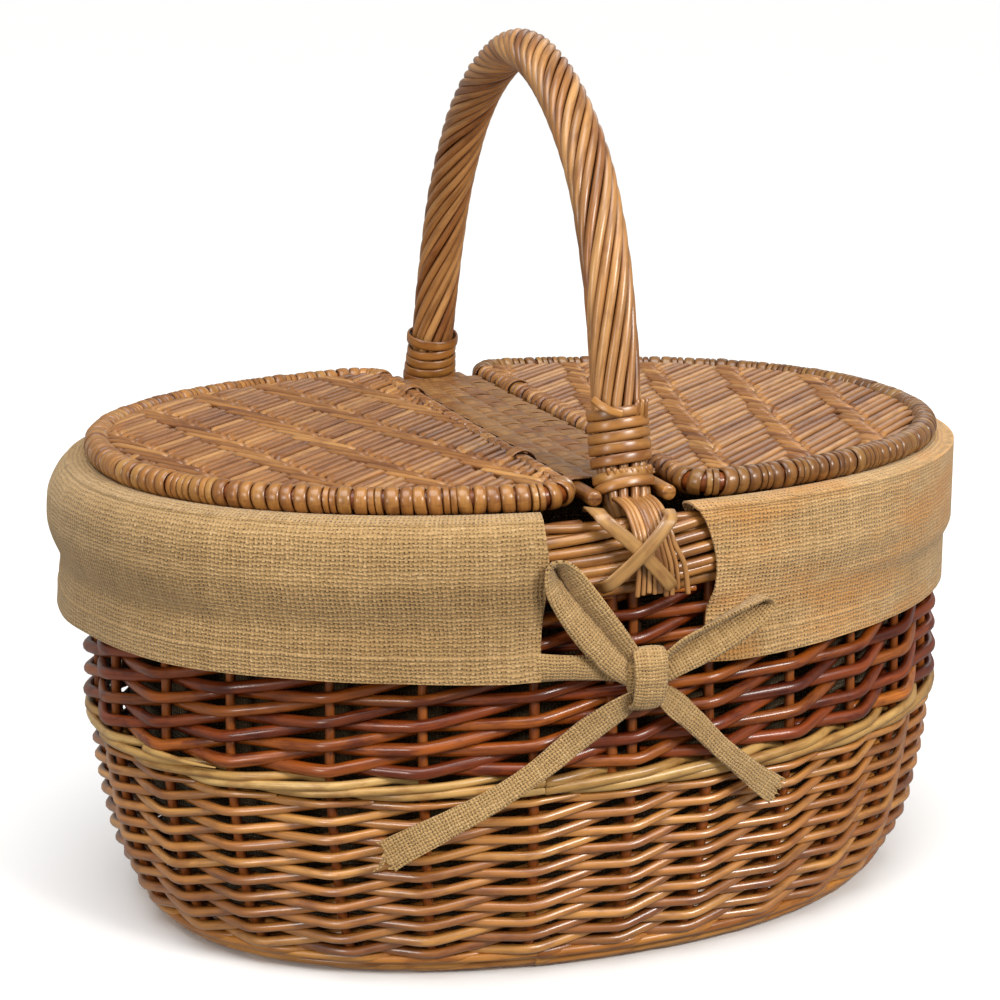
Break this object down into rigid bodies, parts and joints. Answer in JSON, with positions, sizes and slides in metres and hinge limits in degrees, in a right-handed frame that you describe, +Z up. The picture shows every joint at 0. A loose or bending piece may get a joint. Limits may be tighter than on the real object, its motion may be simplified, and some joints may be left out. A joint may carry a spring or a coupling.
{
  "type": "wicker picnic basket",
  "caption": "Oval willow picnic basket with two hinged half lids, a fixed roped bow handle, a two-tone woven wall and a burlap liner with tied cuffs.",
  "frame": {"origin": "centre of the overall box in plan, at the underside of the base, where the basket stands", "axes": "+Z up; +X along the basket's long axis, towards the right lid; -Y is the front, where the near handle foot is"},
  "size_m": [0.465, 0.3632, 0.4302],
  "materials": {
    "buff_willow": "peeled and boiled willow rods, golden buff, satin to glossy",
    "cream_willow": "pale cream willow rods, satin",
    "dark_willow": "stained red-brown willow rods, glossy varnish",
    "stake_willow": "brown willow sticks, satin",
    "cane": "flat split cane wrapping, glossy",
    "willow_skein": "flat shaved willow skeins, dry satin",
    "burlap": "natural hessian, open plain weave, matt"
  },
  "bodies": {
    "basket": {"base_weave": "buff_willow", "foot_wale": "buff_willow", "lower_siding": "buff_willow", "pale_wale": "cream_willow", "dark_siding": "dark_willow", "top_border": "buff_willow", "side_stake_01": "stake_willow", "side_stake_02": "stake_willow", "side_stake_03": "stake_willow", "side_stake_04": "stake_willow", "side_stake_05": "stake_willow", "side_stake_06": "stake_willow", "side_stake_07": "stake_willow", "side_stake_08": "stake_willow", "side_stake_09": "stake_willow", "side_stake_10": "stake_willow", "side_stake_11": "stake_willow", "side_stake_12": "stake_willow", "side_stake_13": "stake_willow", "side_stake_14": "stake_willow", "side_stake_15": "stake_willow", "side_stake_16": "stake_willow", "side_stake_17": "stake_willow", "side_stake_18": "stake_willow", "side_stake_19": "stake_willow", "side_stake_20": "stake_willow", "side_stake_21": "stake_willow", "side_stake_22": "stake_willow", "side_stake_23": "stake_willow", "side_stake_24": "stake_willow", "side_stake_25": "stake_willow", "side_stake_26": "stake_willow", "liner_bag": "burlap", "liner_cuff_left": "burlap", "liner_cuff_right": "burlap", "front_bow_knot": "burlap", "front_bow_left_strap": "burlap", "front_bow_right_strap": "burlap", "rear_bow_knot": "burlap", "rear_bow_left_strap": "burlap", "rear_bow_right_strap": "burlap", "handle_bow": "buff_willow", "handle_collar_front": "cane", "handle_tails_front": "buff_willow", "handle_lashing_front": "cane", "handle_collar_rear": "cane", "handle_tails_rear": "buff_willow", "handle_lashing_rear": "cane", "bridge_weave": "willow_skein", "bridge_bar_left": "stake_willow", "bridge_bar_right": "stake_willow"},
    "left_lid": {"left_lid_rim": "cane", "left_lid_panel": "buff_willow", "hinge_loop_left_front": "cane", "hinge_loop_left_rear": "cane"},
    "right_lid": {"right_lid_rim": "cane", "right_lid_panel": "buff_willow", "hinge_loop_right_front": "cane", "hinge_loop_right_rear": "cane"}
  },
  "joints": [
    {"name": "left_lid_hinge", "type": "hinge", "parent": "basket", "child": "left_lid", "pos_m": [-0.0232, 0, 0.2383], "axis": [0, 1, 0], "range_deg": [0, 92]},
    {"name": "right_lid_hinge", "type": "hinge", "parent": "basket", "child": "right_lid", "pos_m": [0.0232, 0, 0.2383], "axis": [0, -1, 0], "range_deg": [0, 92]}
  ]
}
